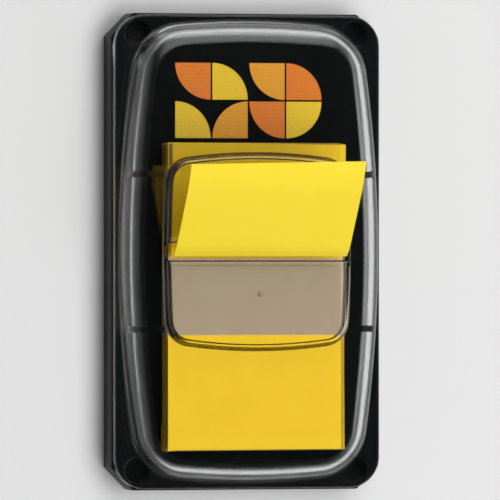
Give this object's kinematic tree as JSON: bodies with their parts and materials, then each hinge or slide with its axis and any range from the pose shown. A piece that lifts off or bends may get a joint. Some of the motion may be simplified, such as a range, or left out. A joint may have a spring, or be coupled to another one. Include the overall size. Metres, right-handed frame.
{
  "type": "sticky index tab dispenser",
  "caption": "Flat pop-up dispenser of sticky index tabs: black tray, clear domed cover with a slot, printed card and a pile of two-tone film tabs with the first standing out.",
  "frame": {"origin": "middle of the flat back, which the pack lies on", "axes": "+Z out of the front, +Y towards the top of the pack, +X to the right as seen from the front"},
  "size_m": [0.0394, 0.0676, 0.0215],
  "materials": {
    "tray_plastic": "glossy moulded black",
    "clear_plastic": "clear moulded, glossy",
    "black_card": "printed black, satin",
    "ink_yellow": "printed ink",
    "ink_amber": "printed ink",
    "ink_orange": "printed ink",
    "slip_card": "plain",
    "tab_film": "matte film, yellow ends and clear ends",
    "lead_film": "matte film, yellow flag and clear end"
  },
  "bodies": {
    "root": {"base_tray": "tray_plastic", "cover": "clear_plastic", "insert_card": "black_card", "card_print_yellow": "ink_yellow", "card_print_amber": "ink_amber", "card_print_orange": "ink_orange", "pile_slip": "slip_card", "tab_pile": "tab_film", "tab_07": "tab_film", "tab_06": "tab_film", "tab_05": "tab_film", "tab_04": "tab_film", "tab_03": "tab_film", "tab_02": "tab_film", "lead_tab": "lead_film"}
  },
  "joints": []
}
